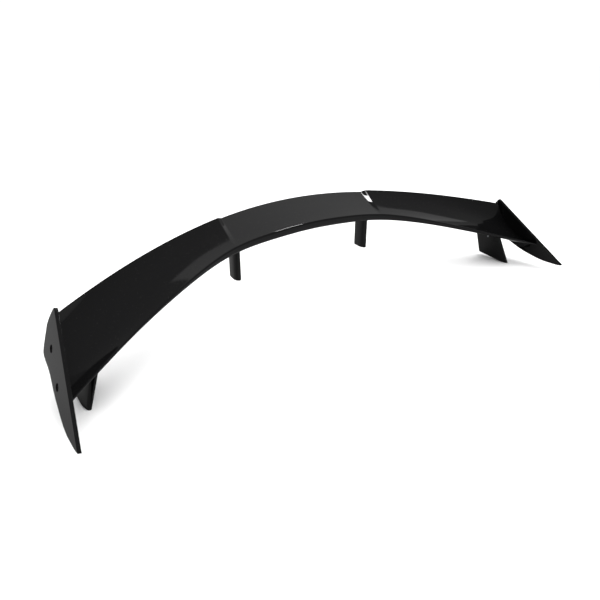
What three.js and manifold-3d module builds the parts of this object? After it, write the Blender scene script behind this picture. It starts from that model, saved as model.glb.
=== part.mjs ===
// A full-width rear wing for a coupe: a hollow moulded blade in three panels, two canted end plates and
// four legs that stand on the tail of the car. It is a fixed wing, bolted together, with nothing that moves.
//
// Millimetres. +X runs along the span, +Y to the trailing edge (the rear of the car) and +Z up.
// The origin is on the centre plane, at the middle of the wing's depth, under the outer foot pads.
// "left" is the -X side and "right" the +X side.
import * as THREE from "three";
import { mergeVertices } from "three/addons/utils/BufferGeometryUtils.js";
import Module from "manifold-3d";

const wasm = await Module();
wasm.setup();

// ---------------------------------------------------------------- driving dimensions

const GAP = 0.3; // clearance between pieces that touch
const HALF_SPAN = 735; // centre plane to the trailing corner of the blade
const WALL = 3; // moulded skin
const EDGE = 5; // thickness of the trailing edge

// The step between the centre panel and each outer panel, at the trailing edge.
const STEP_INNER = 254; // where the centre panel ends
const STEP_OUTER = 267; // where the outer panel begins

// Trailing edge, as powers of the distance from the centre plane: the drops are reached at `at`.
const EDGE_OUTER = { at: HALF_SPAN, y: 219.5, yDrop: 196, z: 294.4, zDrop: 95.6, zPower: 1.7 };
const EDGE_CENTRE = { at: STEP_INNER, y: 220, yDrop: 19, z: 287, zDrop: 14.5, zPower: 2 };

// Leading edge stations, from the centre plane outwards: the lower lip of the nose, how far the top of the
// nose stands ahead of and above that lip, and how deeply the top surface is dished.
const NOSE = [
  { x: 0, y: 128, z: 212, lead: 6, rise: 24, dish: 1 },
  { x: 130, y: 125, z: 208, lead: 6, rise: 23, dish: 1 },
  { x: 260, y: 114, z: 197, lead: 6, rise: 20, dish: 2 },
  { x: 420, y: 60, z: 169, lead: 7, rise: 15, dish: 6 },
  { x: 580, y: -11, z: 128, lead: 9, rise: 11, dish: 15 },
  { x: 735, y: -97, z: 86, lead: 12, rise: 8, dish: 35 },
  { x: 820, y: -149, z: 62, lead: 13, rise: 7, dish: 40 },
];
const BELLY = 9; // how much more the underside bulges than the top is dished
const ARCH_POWER = 2.6; // 2 would make the dish a parabola; more makes it fuller towards its ends

// End plates: a flat panel that leans out at the bottom, with a turned-in lower lip.
const PLATE_TOP = { x: 746, z: 213 }; // outer face, at the top edge
const PLATE_LEAN = 0.29; // outwards per millimetre down
const PLATE_THICK = 8;
const PLATE_BOLTS = [{ y: 0, z: 132.5 }, { y: -67, z: 80.5 }];
const COUNTERBORE = { radius: 8.5, depth: 5 };
const RIB_THICK = 12; // the tip rib that carries the plate

// Legs. The inner ones are upright; the outer ones lean inwards going up, on feet that slope with the body.
const INNER_LEG = { x: 236, front: 146, chord: 52, thick: 19, foot: 103.8 };
const OUTER_LEG = [ // levels, from the foot up
  { z: 1.5, x: 730.5, front: -63, rear: 58 },
  { z: 80, x: 699, front: -47, rear: 56 },
  { z: 185, x: 658, front: -22, rear: 24 },
];
const OUTER_THICK = 21;
const FOOT_SLOPE = 0.112; // rise of the outer foot towards its rear
const PAD = 1.5; // foam pad under a foot

// ---------------------------------------------------------------- solids from three.js geometry

// A closed three.js geometry as a manifold solid.
function solidOf(geometry) {
  const bare = geometry.clone();
  bare.deleteAttribute("normal");
  bare.deleteAttribute("uv");
  const merged = mergeVertices(bare, 1e-4);
  const triVerts = new Uint32Array(merged.index.array);
  return new wasm.Manifold(new wasm.Mesh({
    numProp: 3,
    vertProperties: new Float32Array(merged.attributes.position.array),
    triVerts,
  }));
}

// A manifold solid as a three.js geometry.
function geometryOf(solid) {
  const mesh = solid.getMesh();
  const geometry = new THREE.BufferGeometry();
  geometry.setAttribute("position", new THREE.BufferAttribute(new Float32Array(mesh.vertProperties), 3));
  geometry.setIndex(new THREE.BufferAttribute(new Uint32Array(mesh.triVerts), 1));
  geometry.computeVertexNormals();
  return geometry;
}

// Triangles of a flat cap: a ladder of rungs between the two ends of a ring, wound the way the ring runs.
function capTriangles(count) {
  const triangles = [];
  let [i, j] = [0, count - 1];
  while (j - i > 1) {
    triangles.push([i, i + 1, j]);
    i++;
    if (j - i > 1) triangles.push([i, j - 1, j]);
    j--;
  }
  return triangles;
}

// A closed skin through rings of equal length, capped at both ends, facing out. A ring runs out along one
// side of its outline and back along the other, so that its cap can be a ladder.
function loft(rings) {
  const count = rings[0].length;
  const index = [];
  for (let i = 0; i + 1 < rings.length; i++) {
    for (let j = 0; j < count; j++) {
      const a = i * count + j;
      const b = i * count + ((j + 1) % count);
      index.push(a, b, b + count, a, b + count, a + count);
    }
  }
  const last = (rings.length - 1) * count;
  for (const [a, b, c] of capTriangles(count)) {
    index.push(a, c, b, last + a, last + b, last + c);
  }

  const points = rings.flat();
  let volume = 0;
  for (let i = 0; i < index.length; i += 3) {
    const [a, b, c] = [points[index[i]], points[index[i + 1]], points[index[i + 2]]];
    volume += a.dot(new THREE.Vector3().crossVectors(b, c));
  }
  if (volume < 0) index.reverse();
  const geometry = new THREE.BufferGeometry().setFromPoints(points);
  geometry.setIndex(index);
  return geometry;
}

// A round bar along a direction, from one point on for a length.
function bar(start, direction, length, radius, sides = 12) {
  const geometry = new THREE.CylinderGeometry(radius, radius, length, sides);
  geometry.translate(0, length / 2, 0);
  const turn = new THREE.Quaternion().setFromUnitVectors(new THREE.Vector3(0, 1, 0), direction);
  geometry.applyQuaternion(turn);
  geometry.translate(start.x, start.y, start.z);
  return geometry;
}

// A turned piece: a closed profile of [radius, height] points spun about a direction from a point.
function turned(profile, start, direction, sides = 14) {
  const geometry = new THREE.LatheGeometry(profile.map(([r, h]) => new THREE.Vector2(r, h)), sides);
  const turn = new THREE.Quaternion().setFromUnitVectors(new THREE.Vector3(0, 1, 0), direction);
  geometry.applyQuaternion(turn);
  geometry.translate(start.x, start.y, start.z);
  return geometry;
}

// The mirror image across the centre plane, faces out.
function mirrored(geometry) {
  const other = geometry.index ? geometry.clone() : mergeVertices(geometry);
  other.scale(-1, 1, 1);
  other.index.array.reverse();
  return other;
}

// ---------------------------------------------------------------- blade section

const lerp = THREE.MathUtils.lerp;

// A leading edge value at a distance from the centre plane, by a smooth curve through the stations.
function noseValue(key, x) {
  const stations = [{ ...NOSE[1], x: -NOSE[1].x }, ...NOSE];
  const last = stations.length - 2;
  const k = Math.min(Math.max(stations.findIndex((s) => s.x > x) - 1, 0), last);
  const [a, b] = [stations[k], stations[k + 1]];
  const before = stations[k - 1] ?? a;
  const after = stations[k + 2] ?? b;
  const width = b.x - a.x;
  const slopeA = ((b[key] - before[key]) / (b.x - before.x)) * width;
  const slopeB = ((after[key] - a[key]) / (after.x - a.x)) * width;
  const t = (x - a.x) / width;
  return (2 * t ** 3 - 3 * t ** 2 + 1) * a[key] + (t ** 3 - 2 * t ** 2 + t) * slopeA
    + (3 * t ** 2 - 2 * t ** 3) * b[key] + (t ** 3 - t ** 2) * slopeB;
}

// The upper corner of the trailing edge. Across the step it runs straight from panel to panel.
function trailingEdge(x) {
  const curve = ({ at, y, yDrop, z, zDrop, zPower }, distance) => {
    const share = distance / at;
    return new THREE.Vector2(y - yDrop * share ** 2, z - zDrop * share ** zPower);
  };
  if (x <= STEP_INNER) return curve(EDGE_CENTRE, x);
  if (x >= STEP_OUTER) return curve(EDGE_OUTER, x);
  const inner = curve(EDGE_CENTRE, STEP_INNER);
  const outer = curve(EDGE_OUTER, STEP_OUTER);
  return inner.lerp(outer, (x - STEP_INNER) / (STEP_OUTER - STEP_INNER));
}

const CHORD_STEPS = 8; // points along the top and along the underside
const NOSE_STEPS = 4; // points round the nose

// The blade's section at x, in (y, z): its outline in pieces, and the directions along and across the chord.
function section(x) {
  const span = Math.abs(x);
  const edge = trailingEdge(span);
  const lip = new THREE.Vector2(noseValue("y", span), noseValue("z", span));
  const top = new THREE.Vector2(lip.x - noseValue("lead", span), lip.y + noseValue("rise", span));
  const dish = noseValue("dish", span);
  const along = top.clone().sub(edge).normalize();
  const up = new THREE.Vector2(along.y, -along.x);
  const edgeUnder = edge.clone().addScaledVector(up, -EDGE);
  const arch = (t) => 1 - Math.abs(2 * t - 1) ** ARCH_POWER;

  const upper = [];
  const under = [];
  for (let i = 0; i <= CHORD_STEPS; i++) {
    const t = i / CHORD_STEPS;
    upper.push(edge.clone().lerp(top, t).addScaledVector(up, -dish * arch(t)));
    under.push(lip.clone().lerp(edgeUnder, t).addScaledVector(up, -(dish + BELLY) * arch(t)));
  }
  const front = top.clone().lerp(lip, 0.45).addScaledVector(along, lip.distanceTo(top) * 0.32);
  const nose = [];
  for (let i = 1; i < NOSE_STEPS; i++) {
    const t = i / NOSE_STEPS;
    nose.push(top.clone().lerp(front, t).lerp(front.clone().lerp(lip, t), t));
  }
  return { edge, top, lip, along, up, edgeUnder, upper, nose, under };
}

// How thick a skin can be at a share t of the chord from the trailing edge: full, or half of a thin edge.
function wallAt(cut, t) {
  const i = Math.round(t * CHORD_STEPS);
  const depth = cut.upper[i].clone().sub(cut.under[CHORD_STEPS - i]).dot(cut.up);
  return Math.min(WALL, (depth - GAP) / 2);
}

// The inside of the upper skin, from the trailing edge to the lip, stood off by a margin.
function insideUpper(cut, margin) {
  const rear = cut.under[1].clone().sub(cut.lip).normalize();
  const line = cut.upper.map((p, i) =>
    p.clone().addScaledVector(cut.up, -wallAt(cut, i / CHORD_STEPS) - margin));
  line[CHORD_STEPS].addScaledVector(rear, WALL + margin);
  const end = cut.lip.clone().addScaledVector(rear, WALL + margin);
  for (let i = 1; i <= NOSE_STEPS; i++) line.push(line[CHORD_STEPS].clone().lerp(end, i / NOSE_STEPS));
  return line;
}

// A line at a height over the outside of the underside, from just behind the nose wall to the trailing edge.
// Its front end leans as the nose does.
function overUnder(cut, height) {
  const rear = cut.under[1].clone().sub(cut.lip).normalize();
  const lean = cut.top.clone().sub(cut.lip);
  lean.multiplyScalar(1 / lean.dot(cut.up));
  return cut.under.map((p, i) => {
    const rise = Math.min(height, wallAt(cut, 1 - i / CHORD_STEPS));
    if (i > 0) return p.clone().addScaledVector(cut.up, rise);
    return p.clone().addScaledVector(lean, rise).addScaledVector(rear, WALL + GAP);
  });
}

const at = (x) => (p) => new THREE.Vector3(x, p.x, p.y);

// Distances from the centre plane that the skins are cut at: close together round the step.
const STATIONS = [0, 40, 85, 130, 175, 215, STEP_INNER,
  STEP_OUTER, 310, 360, 410, 460, 510, 560, 610, 655, 700, 745, 800];
const SPAN = [...STATIONS.slice(1).reverse().map((x) => -x), ...STATIONS];

function spanLoft(outline, stations = SPAN) {
  return solidOf(loft(stations.map((x) => outline(section(x)).map(at(x)))));
}

const upperSkinOutline = (cut) => [...cut.upper, ...cut.nose, cut.lip, ...insideUpper(cut, 0).reverse()];
const lowerSkinOutline = (cut) => [...overUnder(cut, 0), ...overUnder(cut, WALL).reverse()];

// ---------------------------------------------------------------- end plate frame

const PLATE_NORMAL = new THREE.Vector3(1, 0, PLATE_LEAN).normalize(); // out of the right plate's outer face

// The right plate's outer face, in its plane, at a (y, z), moved inwards by a depth.
function onPlate(y, z, depth = 0) {
  const x = PLATE_TOP.x + (PLATE_TOP.z - z) * PLATE_LEAN;
  return new THREE.Vector3(x, y, z).addScaledVector(PLATE_NORMAL, -depth);
}

// A slab parallel to the right plate, between two depths, with an outline of [y, z] points.
function plateSlab(outline, from, to) {
  const ring = (depth) => outline.map(([y, z]) => onPlate(y, z, depth));
  return loft([ring(from), ring(to)]);
}

// End plate outline, front to rear: [y, z of the crease, z of the lower lip, z of the top edge].
const PLATE_STATIONS = [
  [-222.3, 28.1, 28, 29], [-215, 26.2, 26, 34], [-203, 25.2, 25, 43.5], [-186, 25.2, 25, 57],
  [-157, 26, 25.5, 79.5], [-130, 31.5, 29.5, 101], [-105, 40, 36, 120.5], [-85, 48, 42, 136.5],
  [-62, 57, 50, 154.5], [-40, 67, 60, 172], [-20, 78, 70, 187.5], [-3, 87, 76, 201], [8, 91, 80, 210],
  [14, 93, 83, 213.5], [20, 94, 86, 210.5], [33, 96, 92, 194], [43, 98.5, 97, 179], [49, 102, 101.5, 166],
  [52, 107, 106.5, 125],
];
const LIP_TURN = 0.3; // how far the lip turns in for each millimetre below the crease

// The lower lip turns in from the crease.
function endPlateGeometry() {
  const ring = ([y, crease, lip, top]) => {
    const turn = (crease - lip) * LIP_TURN;
    const faces = [0, PLATE_THICK].map((depth) =>
      [onPlate(y, top, depth), onPlate(y, crease, depth), onPlate(y, lip - 0.5, depth + turn)]);
    return [...faces[0], ...faces[1].reverse()];
  };
  return loft(PLATE_STATIONS.map(ring));
}

const FAR = 400;
const everywhere = [[-FAR, -FAR], [FAR, -FAR], [FAR, FAR * 2], [-FAR, FAR * 2]];

// All that lies outside the plate's inner face, moved inwards by a depth, on both sides.
function outsidePlates(depth) {
  const right = plateSlab(everywhere, -FAR, PLATE_THICK + depth);
  return solidOf(right).add(solidOf(mirrored(right)));
}

// ---------------------------------------------------------------- pieces

const model = new THREE.Group();
const BLACK_GLOSS = { color: 0x0b0b0c, roughness: 0.12, metalness: 0 };
const BLACK_MATT = { color: 0x141414, roughness: 0.6, metalness: 0 };
const BLACK_STEEL = { color: 0x1a1a1c, roughness: 0.35, metalness: 1 };
const ZINC = { color: 0xa8a9ac, roughness: 0.4, metalness: 1 };
const BRASS = { color: 0xb08d4c, roughness: 0.35, metalness: 1 };
const FOAM = { color: 0x101010, roughness: 0.95, metalness: 0 };

function addPiece(name, geometry, finish) {
  const mesh = new THREE.Mesh(geometry, new THREE.MeshStandardMaterial(finish));
  mesh.name = name;
  model.add(mesh);
}

// A right-hand piece and its mirror image.
function addPair(name, geometry, finish) {
  addPiece(`right_${name}`, geometry, finish);
  addPiece(`left_${name}`, mirrored(geometry), finish);
}

// --- fastener shapes

const BOLT = { shank: 2.8, head: 5.2, headHeight: 2.2, length: 12 };
const WASHER = { radius: 7.2, bore: 3.3, thick: 0.8 };
const INSERT = { radius: 4.3, bore: 3.1, length: 10 };
const SCREW = { shank: 2.8, head: 5.5, headHeight: 3.2, length: 24 };
const SOCKET = { radius: 2.2, depth: 1.4 }; // hexagon

// A round-headed bolt from the underside of its head; the direction points from tip to head.
function boltGeometry(size, seat, direction) {
  const tip = -size.length;
  const crown = size.headHeight;
  const profile = [[0, tip], [size.shank, tip], [size.shank, 0], [size.head, 0],
    [size.head, crown * 0.4], [size.head * 0.65, crown], [0, crown]];
  const body = solidOf(turned(profile, seat, direction));
  const socketStart = seat.clone().addScaledVector(direction, crown - SOCKET.depth);
  const socket = solidOf(bar(socketStart, direction, SOCKET.depth + 1, SOCKET.radius, 6));
  return geometryOf(body.subtract(socket));
}

function ringGeometry(radius, bore, thick, start, direction) {
  return turned([[bore, 0], [radius, 0], [radius, thick], [bore, thick], [bore, 0]], start, direction);
}

// --- legs and their seats on the underside

const UP = new THREE.Vector3(0, 0, 1);

// An aerofoil outline [along, across] with its nose at 0: round in front, thin behind.
function legOutline(chord, thick, tail) {
  const side = [];
  const steps = 7;
  for (let i = 0; i <= steps; i++) {
    const t = (i / steps) ** 1.6;
    const round = Math.sqrt(1 - (1 - Math.min(t / 0.3, 1)) ** 2);
    const taper = t < 0.3 ? 1 : lerp(1, tail, ((t - 0.3) / 0.7) ** 1.5);
    side.push([t * chord, (round * taper * thick) / 2]);
  }
  const back = side.slice(1).reverse().map(([a, b]) => [a, -b]);
  return [...side, ...back];
}

const LEG_TALL = 170; // raw leg, before it is cut off at the blade
const LEG_CLEARANCE = 2 * GAP; // between a leg's top and the underside

function innerLegRing(z) {
  return legOutline(INNER_LEG.chord, INNER_LEG.thick, 0.35)
    .map(([a, b]) => new THREE.Vector3(INNER_LEG.x + b, INNER_LEG.front + a, z));
}

function outerLegRing({ z, x, front, rear }, slope = FOOT_SLOPE) {
  return legOutline(rear - front, OUTER_THICK, 0.6)
    .map(([a, b]) => new THREE.Vector3(x + b, front + a, z + slope * a));
}

// A seat on the outside of the underside: the point at a share of the chord from the lip, and the local up.
function seatOn(x, share) {
  const cut = section(x);
  const place = share * CHORD_STEPS;
  const i = Math.min(Math.floor(place), CHORD_STEPS - 1);
  const point = cut.under[i].clone().lerp(cut.under[i + 1], place - i);
  const run = cut.under[i + 1].clone().sub(cut.under[i]).normalize();
  const inward = new THREE.Vector3(0, -run.y, run.x);
  return { point: new THREE.Vector3(x, point.x, point.y), inward };
}

const FOOT_NORMALS = {
  inner: UP,
  outer: new THREE.Vector3(0, -FOOT_SLOPE, 1).normalize(),
};

const LEGS = [
  {
    name: "inner_leg",
    rings: [innerLegRing(INNER_LEG.foot), innerLegRing(INNER_LEG.foot + LEG_TALL)],
    x: INNER_LEG.x,
    shares: [0.34, 0.52], // of the chord from the lip, where the screws go
    plate: [216, 252],
    footUp: FOOT_NORMALS.inner,
    inserts: [12, 33], // distances back from the front of the foot
  },
  {
    name: "outer_leg",
    rings: OUTER_LEG.map((level) => outerLegRing(level)),
    x: 684,
    shares: [0.32, 0.56],
    plate: [664, 702],
    footUp: FOOT_NORMALS.outer,
    inserts: [26, 98],
  },
];
const PLATE_HEIGHT = 2.2; // steel backing plate

// Raw legs are cut to the underside of the blade. Screws go down through a backing plate, the lower skin and
// into the leg.
const screwHoles = [];
const headRooms = [];

for (const leg of LEGS) {
  const bladeAndAbove = spanLoft((cut) => {
    const skin = overUnder(cut, -LEG_CLEARANCE);
    skin[0] = cut.lip.clone().addScaledVector(cut.up, -LEG_CLEARANCE).addScaledVector(cut.along, 20);
    const above = skin.map((p) => new THREE.Vector2(p.x, FAR)).reverse();
    return [...skin, ...above];
  }, STATIONS);
  leg.body = solidOf(loft(leg.rings)).subtract(bladeAndAbove);

  leg.shares.forEach((share, i) => {
    const { point, inward } = seatOn(leg.x, share);
    const seat = point.clone().addScaledVector(inward, WALL + PLATE_HEIGHT + 3 * GAP);
    const start = seat.clone().addScaledVector(inward, -SCREW.length - 1);
    const hole = bar(start, inward, SCREW.length + 6, SCREW.shank + GAP);
    const room = bar(seat.clone().addScaledVector(inward, -GAP), inward, 8, SCREW.head + GAP);
    screwHoles.push(solidOf(hole), solidOf(mirrored(hole)));
    headRooms.push(solidOf(room), solidOf(mirrored(room)));
    leg.body = leg.body.subtract(solidOf(hole));
    addPair(`${leg.name}_screw_${i + 1}`, boltGeometry(SCREW, seat, inward), ZINC);
  });
}
const union = (solids) => solids.reduce((sum, solid) => sum.add(solid));
const allHoles = union(screwHoles);
const allRooms = union(headRooms);

// --- threaded inserts and foam pads under the feet

const FOOT_INSERT = { radius: 4.3, bore: 2.6, length: 12 };

for (const leg of LEGS) {
  const foot = leg.rings[0];
  const front = foot[0];
  const back = new THREE.Vector3(0, 1, 0).projectOnPlane(leg.footUp).normalize();
  const lowered = (depth) => foot.map((p) => p.clone().addScaledVector(leg.footUp, -depth));
  let pad = solidOf(loft([lowered(PAD), lowered(GAP)]));
  leg.inserts.forEach((distance, i) => {
    const mouth = front.clone().addScaledVector(back, distance);
    const below = mouth.clone().addScaledVector(leg.footUp, -PAD - 1);
    const depth = FOOT_INSERT.length + PAD + 1 + GAP;
    leg.body = leg.body.subtract(solidOf(bar(below, leg.footUp, depth, FOOT_INSERT.radius + GAP)));
    pad = pad.subtract(solidOf(bar(below, leg.footUp, PAD + 2, FOOT_INSERT.radius + 1)));
    const insert = ringGeometry(FOOT_INSERT.radius, FOOT_INSERT.bore, FOOT_INSERT.length, mouth, leg.footUp);
    addPair(`${leg.name}_foot_insert_${i + 1}`, insert, BRASS);
  });
  addPair(leg.name, geometryOf(leg.body), BLACK_GLOSS);
  addPair(`${leg.name}_pad`, geometryOf(pad), FOAM);
}

// --- blade

const beyondRib = outsidePlates(RIB_THICK + 2 * GAP);
const upperSkin = spanLoft(upperSkinOutline).subtract(outsidePlates(GAP));
const lowerSkin = spanLoft(lowerSkinOutline).subtract(beyondRib).subtract(allHoles);
addPiece("blade_upper_skin", geometryOf(upperSkin), BLACK_GLOSS);
addPiece("blade_lower_skin", geometryOf(lowerSkin), BLACK_GLOSS);

// --- backing plates inside the underside, over each leg

for (const leg of LEGS) {
  const [from, to] = leg.plate;
  const band = (cut) => {
    const low = cut.under.slice(2, 7).map((p) => p.clone().addScaledVector(cut.up, WALL + 2 * GAP));
    const high = low.map((p) => p.clone().addScaledVector(cut.up, PLATE_HEIGHT)).reverse();
    return [...low, ...high];
  };
  const plate = spanLoft(band, [from, (from + to) / 2, to]).subtract(allHoles).subtract(allRooms);
  addPair(`${leg.name}_backing_plate`, geometryOf(plate), ZINC);
}

// --- tip ribs: each closes the end of the blade under the upper skin and hangs below it as a tongue that
// takes both end plate bolts

const RIB_OUTLINE = [[40, 190], [26, 144], [10, 114], [-30, 80], [-64, 60], [-86, 64], [-100, 75], [-112, 82],
  [-112, 120], [-100, 140], [-80, 160], [-60, 180], [-30, 200], [0, 230], [20, 240], [40, 240]];

const underTop = spanLoft((cut) => {
  const inside = insideUpper(cut, 2 * GAP);
  const below = inside.map((p) => new THREE.Vector2(p.x, -FAR)).reverse();
  return [...inside, ...below];
}, STATIONS.slice(-4));
const ribOuter = PLATE_THICK + GAP; // depth of the rib's face against the end plate
let rib = solidOf(plateSlab(RIB_OUTLINE, ribOuter, ribOuter + RIB_THICK)).intersect(underTop);

// --- end plates and their bolts

let plate = solidOf(endPlateGeometry());
PLATE_BOLTS.forEach(({ y, z }, i) => {
  const face = (depth) => onPlate(y, z, depth);
  const inward = PLATE_NORMAL.clone().negate();
  const floor = COUNTERBORE.depth;
  plate = plate
    .subtract(solidOf(bar(face(-5), inward, 5 + floor, COUNTERBORE.radius, 28)))
    .subtract(solidOf(bar(face(-5), inward, 20, BOLT.shank + 0.5)));
  const insertEnd = face(ribOuter + INSERT.length);
  rib = rib.subtract(solidOf(bar(face(ribOuter - 1), inward, RIB_THICK + 3, INSERT.radius + GAP)));
  addPair(`end_plate_washer_${i + 1}`,
    ringGeometry(WASHER.radius, WASHER.bore, WASHER.thick, face(floor - GAP), PLATE_NORMAL), ZINC);
  addPair(`end_plate_bolt_${i + 1}`,
    boltGeometry(BOLT, face(floor - 2 * GAP - WASHER.thick), PLATE_NORMAL), BLACK_STEEL);
  addPair(`end_plate_insert_${i + 1}`,
    ringGeometry(INSERT.radius, INSERT.bore, INSERT.length, insertEnd, PLATE_NORMAL), BRASS);
});
addPair("tip_rib", geometryOf(rib), BLACK_MATT);
addPair("end_plate", geometryOf(plate), BLACK_GLOSS);

export default model;
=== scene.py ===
"""A full-width rear wing in gloss black plastic: a hollow three-panel blade, two canted end plates and
four legs.
Metres: +X along the span, +Y to the trailing edge, +Z up, origin on the centre plane under the outer feet."""
import bmesh
import bpy
import numpy as np
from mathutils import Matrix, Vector


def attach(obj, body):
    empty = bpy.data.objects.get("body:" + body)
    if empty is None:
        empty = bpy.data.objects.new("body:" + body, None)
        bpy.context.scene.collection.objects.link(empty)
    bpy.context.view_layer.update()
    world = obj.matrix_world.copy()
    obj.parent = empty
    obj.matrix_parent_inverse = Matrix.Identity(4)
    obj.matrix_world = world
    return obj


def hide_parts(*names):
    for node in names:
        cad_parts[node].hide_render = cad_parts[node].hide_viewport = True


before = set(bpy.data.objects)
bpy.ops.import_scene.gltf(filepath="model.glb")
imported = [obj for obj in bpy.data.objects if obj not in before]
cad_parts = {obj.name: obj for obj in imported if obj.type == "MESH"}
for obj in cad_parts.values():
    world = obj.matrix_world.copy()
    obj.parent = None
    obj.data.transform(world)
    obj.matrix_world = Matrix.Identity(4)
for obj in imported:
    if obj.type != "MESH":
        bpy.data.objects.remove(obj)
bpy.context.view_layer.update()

# ---------------------------------------------------------------- camera
# The wing is seen from its front left, from a little above.
CAMERA_DOWN = 0.42813  # radians below level
CAMERA_HEADING = 0.93167  # radians from +X towards +Y
camera_data = bpy.data.cameras.new("camera")
camera_data.lens = 33.0
camera_data.sensor_width = 36.0
camera_data.clip_end = 200.0
camera = bpy.data.objects.new("camera", camera_data)
camera.location = (-0.94609, -1.08919, 0.68894)
camera.rotation_euler = (np.pi / 2 - CAMERA_DOWN, 0, CAMERA_HEADING - np.pi / 2)
bpy.context.scene.collection.objects.link(camera)
bpy.context.scene.camera = camera

# ---------------------------------------------------------------- blade, upper skin
# The top half of the blade is one gloss black moulding: the dished top of all three panels, the trailing
# edge and the nose down to its lower lip. It is bonded to the lower skin along the nose and the trailing
# edge.
GAP = 0.0003  # clearance between pieces that touch
WALL = 0.003
EDGE_THICK = 0.005  # trailing edge
HALF_SPAN = 0.735  # centre plane to the trailing corner of the blade
STEP_INNER = 0.254  # the centre panel ends here,
STEP_OUTER = 0.267  # and the outer panel begins here
BELLY = 0.009  # how much more the underside bulges than the top is dished
ARCH_POWER = 2.6
NOSE_PULL = 0.32  # how far the nose is pulled forward, as a share of its height

# Leading edge from the centre plane outwards: the lower lip's Y and Z, how far the top of the nose stands
# ahead of and above the lip, and how deeply the top is dished.
NOSE_AT = np.array([0.000, 0.130, 0.260, 0.420, 0.580, 0.735, 0.820])
NOSE = {
    "y": [0.128, 0.125, 0.114, 0.060, -0.011, -0.097, -0.149],
    "z": [0.212, 0.208, 0.197, 0.169, 0.128, 0.086, 0.062],
    "lead": [0.006, 0.006, 0.006, 0.007, 0.009, 0.012, 0.013],
    "rise": [0.024, 0.023, 0.020, 0.015, 0.011, 0.008, 0.007],
    "dish": [0.001, 0.001, 0.002, 0.006, 0.015, 0.035, 0.040],
}

# The end plates lean out at the bottom, and the blade ends against them.
PLATE_X = 0.746  # outer face at its top
PLATE_Z = 0.213
PLATE_LEAN = 0.29  # outwards for each metre down
PLATE_THICK = 0.008
PLATE_SLANT = np.hypot(1, PLATE_LEAN)
RIB_THICK = 0.012  # the tip rib between the blade and the plate


def spline(at, values, x, start=None):
    """The smoothest cubic curve through the stations, at each x. The slopes at the stations come from a
    system whose rows say that the two cubics meeting at a station have the same curvature there; the curve
    has the slope `start` at the first station, or no curvature where none is given, and no curvature at the
    last."""
    values = np.asarray(values, float)
    gap = np.diff(at)
    rate = np.diff(values) / gap
    inner = np.arange(1, len(at) - 1)
    system = np.eye(len(at))
    system[inner, inner - 1] = 1 / gap[:-1]
    system[inner, inner] = 2 / gap[:-1] + 2 / gap[1:]
    system[inner, inner + 1] = 1 / gap[1:]
    system[-1, -2:] = 1, 2
    right = np.zeros(len(at))
    right[inner] = 3 * (rate[:-1] / gap[:-1] + rate[1:] / gap[1:])
    right[-1] = 3 * rate[-1]
    right[0] = start if start is not None else 3 * rate[0]
    if start is None:
        system[0, :2] = 2, 1
    slopes = np.linalg.solve(system, right)
    k = np.clip(np.searchsorted(at, x, side="right") - 1, 0, len(at) - 2)
    width = at[k + 1] - at[k]
    t = (x - at[k]) / width
    begin = (1 + 2 * t) * (1 - t) ** 2 * values[k] + t * (1 - t) ** 2 * width * slopes[k]
    end = t * t * (3 - 2 * t) * values[k + 1] + t * t * (t - 1) * width * slopes[k + 1]
    return begin + end


def mix(a, b, t):
    """The point a share t of the way from a to b."""
    return a + (b - a) * t


def bend(t, rounding):
    """0 below 0 and t above it, with the corner rounded: half of t plus a hyperbola's branch."""
    return (t + np.sqrt(t * t + rounding * rounding)) / 2


def trailing_edge(span):
    """The upper corner of the trailing edge as (Y, Z). Each panel falls away from the centre as a power of
    the distance, and across the step the line goes from one panel to the other with rounded ends."""
    inner = span / STEP_INNER
    outer = span / HALF_SPAN
    centre = np.stack([0.220 - 0.019 * inner**2, 0.287 - 0.0145 * inner**2], -1)
    side = np.stack([0.2195 - 0.196 * outer**2, 0.2944 - 0.0956 * outer**1.7], -1)
    share = (span - STEP_INNER) / (STEP_OUTER - STEP_INNER)
    share = np.clip(bend(share, 0.06) - bend(share - 1, 0.06), 0, 1)[..., None]
    return mix(centre, side, share)


def chord_frame(x):
    """The section at x: trailing edge, its lower corner, top of the nose, lower lip, the unit vectors along
    the chord and up from it, and the dish. The chord runs from the trailing edge to the top of the nose."""
    span = np.abs(x)
    edge = trailing_edge(span)
    nose = {key: spline(NOSE_AT, column, span, start=0) for key, column in NOSE.items()}
    lip = np.stack([nose["y"], nose["z"]], -1)
    top = lip + np.stack([-nose["lead"], nose["rise"]], -1)
    along = top - edge
    along = along / np.linalg.norm(along, axis=-1, keepdims=True)
    up = np.stack([along[..., 1], -along[..., 0]], -1)
    return edge, edge - up * EDGE_THICK, top, lip, along, up, nose["dish"][..., None]


def arch(t):
    """0 at both ends of the chord and 1 in its middle, fuller than a parabola."""
    return 1 - np.abs(2 * t - 1) ** ARCH_POWER


def on_top(x, t):
    """The top surface: the chord from the trailing edge (t = 0) to the nose (t = 1), less the dish times
    the arch."""
    edge, _, top, _, _, up, dish = chord_frame(x)
    return mix(edge, top, t) - up * dish * arch(t)


def on_nose(x, t):
    """The nose: a quadratic curve from its top to the lip, pulled forward along the chord."""
    _, _, top, lip, along, _, _ = chord_frame(x)
    height = np.linalg.norm(top - lip, axis=-1, keepdims=True)
    front = mix(top, lip, 0.45) + along * height * NOSE_PULL
    return mix(mix(top, front, t), mix(front, lip, t), t)


def on_underside(x, t):
    """The underside: the line from the lip (t = 0) to the lower corner of the trailing edge (t = 1), less
    the dish and the belly times the arch."""
    _, edge_under, _, lip, _, up, dish = chord_frame(x)
    return mix(lip, edge_under, t) - up * (dish + BELLY) * arch(t)


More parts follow.
